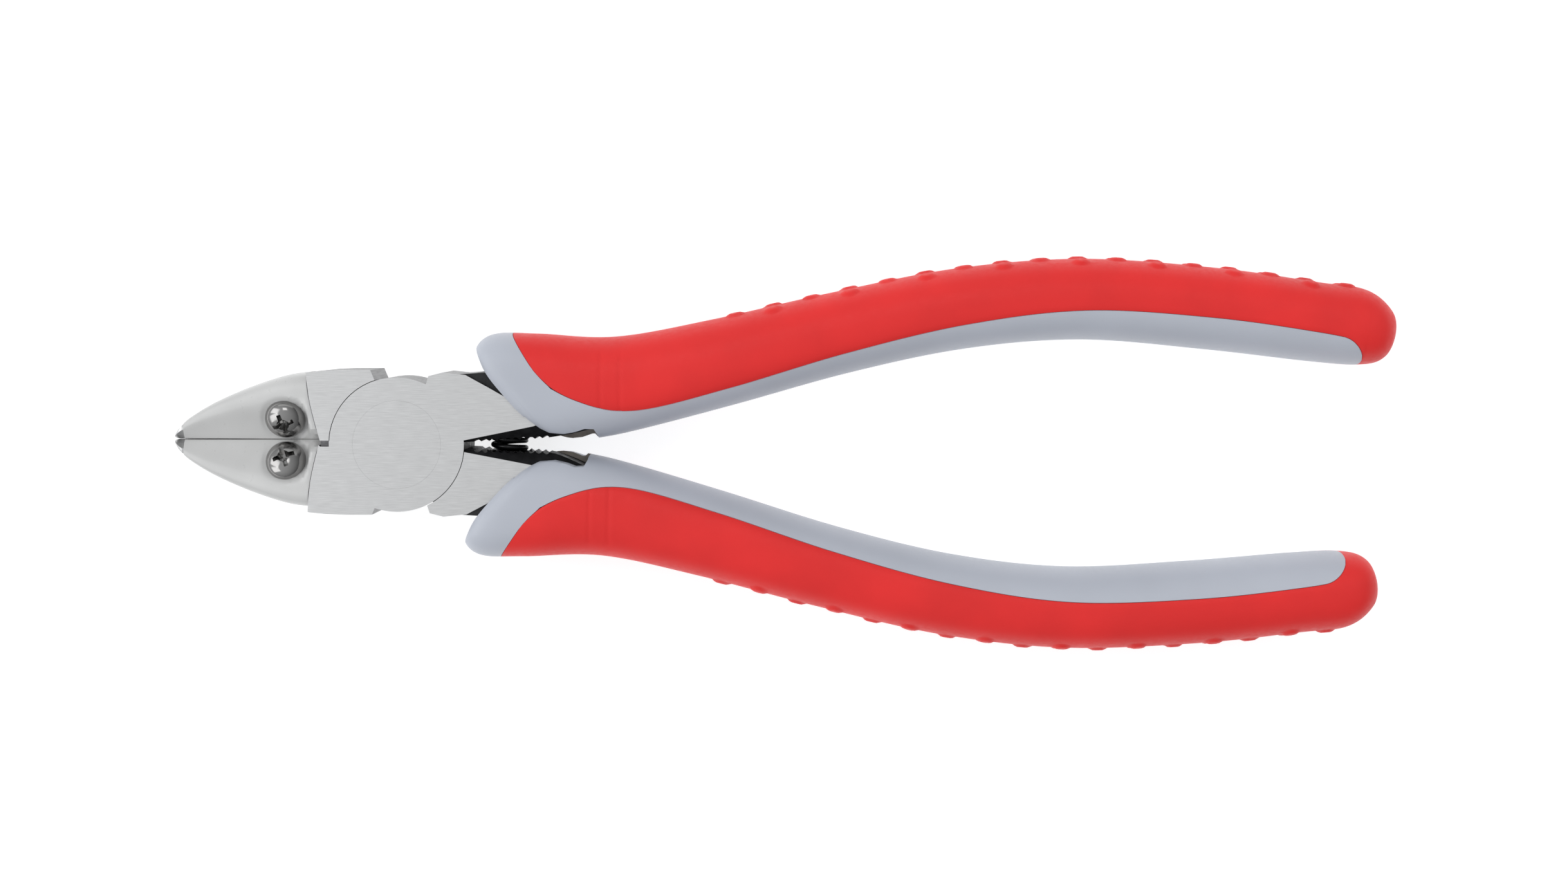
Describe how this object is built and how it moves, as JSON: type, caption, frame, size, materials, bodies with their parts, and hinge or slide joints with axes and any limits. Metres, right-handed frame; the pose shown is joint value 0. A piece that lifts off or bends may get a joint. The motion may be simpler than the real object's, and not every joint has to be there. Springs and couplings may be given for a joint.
{
  "type": "jaw cover nippers",
  "caption": "Hand nippers with lapped steel levers, screwed-on plastic jaw covers, a flush rivet, a return spring and long curved grips in grey and red.",
  "frame": {"origin": "centre of the rivet's flat back head, in the plane of the head's ground back face", "axes": "+X along the tool from the jaw tips to the handles, +Z along the rivet to the front face, +Y across the jaws"},
  "size_m": [0.1655, 0.0528, 0.0142],
  "materials": {
    "ground_steel": "ground flat, blackened where forged",
    "black_steel": "black oxide",
    "jaw_cover_plastic": "smooth off-white",
    "screw_steel": "bright plated",
    "grey_plastic": "satin cool grey",
    "red_elastomer": "satin red, soft"
  },
  "bodies": {
    "front_half": {"front_lever": "ground_steel", "front_lever_cover": "jaw_cover_plastic", "front_lever_cover_screw": "screw_steel", "front_lever_grip_sleeve": "grey_plastic", "front_lever_soft_grip": "red_elastomer", "pivot_rivet": "ground_steel", "return_spring": "black_steel"},
    "rear_half": {"rear_lever": "ground_steel", "rear_lever_cover": "jaw_cover_plastic", "rear_lever_cover_screw": "screw_steel", "rear_lever_grip_sleeve": "grey_plastic", "rear_lever_soft_grip": "red_elastomer"}
  },
  "joints": [
    {"name": "jaw_pivot", "type": "hinge", "parent": "front_half", "child": "rear_half", "pos_m": [0, 0, 0.005], "axis": [0, 0, -1], "range_deg": [0, 25], "stiffness_Nm_per_rad": 0.25, "springref_deg": 22.92, "deforming": ["return_spring"]}
  ]
}
